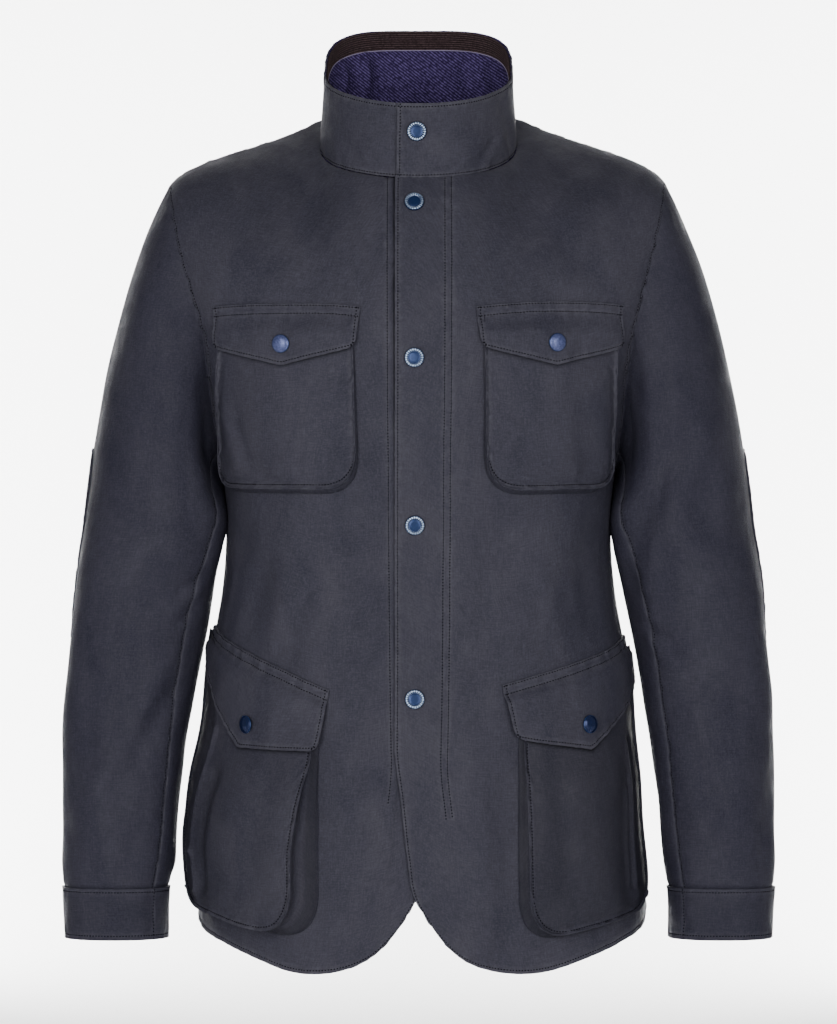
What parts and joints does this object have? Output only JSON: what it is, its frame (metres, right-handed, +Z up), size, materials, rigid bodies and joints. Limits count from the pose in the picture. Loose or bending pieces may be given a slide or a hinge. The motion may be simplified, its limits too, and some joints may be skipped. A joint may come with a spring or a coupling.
{
  "type": "waxed cotton jacket",
  "caption": "Waxed cotton field jacket, filled out as if worn, with a snapped front, a stand collar, flapped patch and bellows pockets and a rounded front hem.",
  "frame": {"origin": "middle of the neck's base, where the shoulders carry the jacket", "axes": "+Z up, the front faces -Y, the wearer's left side is at +X"},
  "size_m": [0.6358, 0.2844, 0.8347],
  "materials": {
    "waxed_cotton": "fine plain weave with a faint waxy sheen, dark navy charcoal",
    "corduroy": "ribbed cotton corduroy, brown black",
    "lining_twill": "cotton twill lining, purple navy",
    "snap_enamel": "blue enamelled snap cap with a bright rim"
  },
  "bodies": {
    "root": {"back": "waxed_cotton", "chest_flap_left": "waxed_cotton", "chest_flap_right": "waxed_cotton", "chest_pocket_left": "waxed_cotton", "chest_pocket_right": "waxed_cotton", "collar": "waxed_cotton", "collar_facing": "corduroy", "cuff_left": "waxed_cotton", "cuff_right": "waxed_cotton", "elbow_patch_left": "waxed_cotton", "elbow_patch_right": "waxed_cotton", "front_left": "waxed_cotton", "front_right": "waxed_cotton", "lower_flap_left": "waxed_cotton", "lower_flap_right": "waxed_cotton", "lower_pocket_left": "waxed_cotton", "lower_pocket_right": "waxed_cotton", "neck_lining": "lining_twill", "sleeve_under_left": "waxed_cotton", "sleeve_under_right": "waxed_cotton", "sleeve_upper_left": "waxed_cotton", "sleeve_upper_right": "waxed_cotton", "snap_chest_left": "snap_enamel", "snap_chest_right": "snap_enamel", "snap_collar": "snap_enamel", "snap_front_1": "snap_enamel", "snap_front_2": "snap_enamel", "snap_front_3": "snap_enamel", "snap_front_4": "snap_enamel", "snap_lower_left": "snap_enamel", "snap_lower_right": "snap_enamel"}
  },
  "joints": []
}
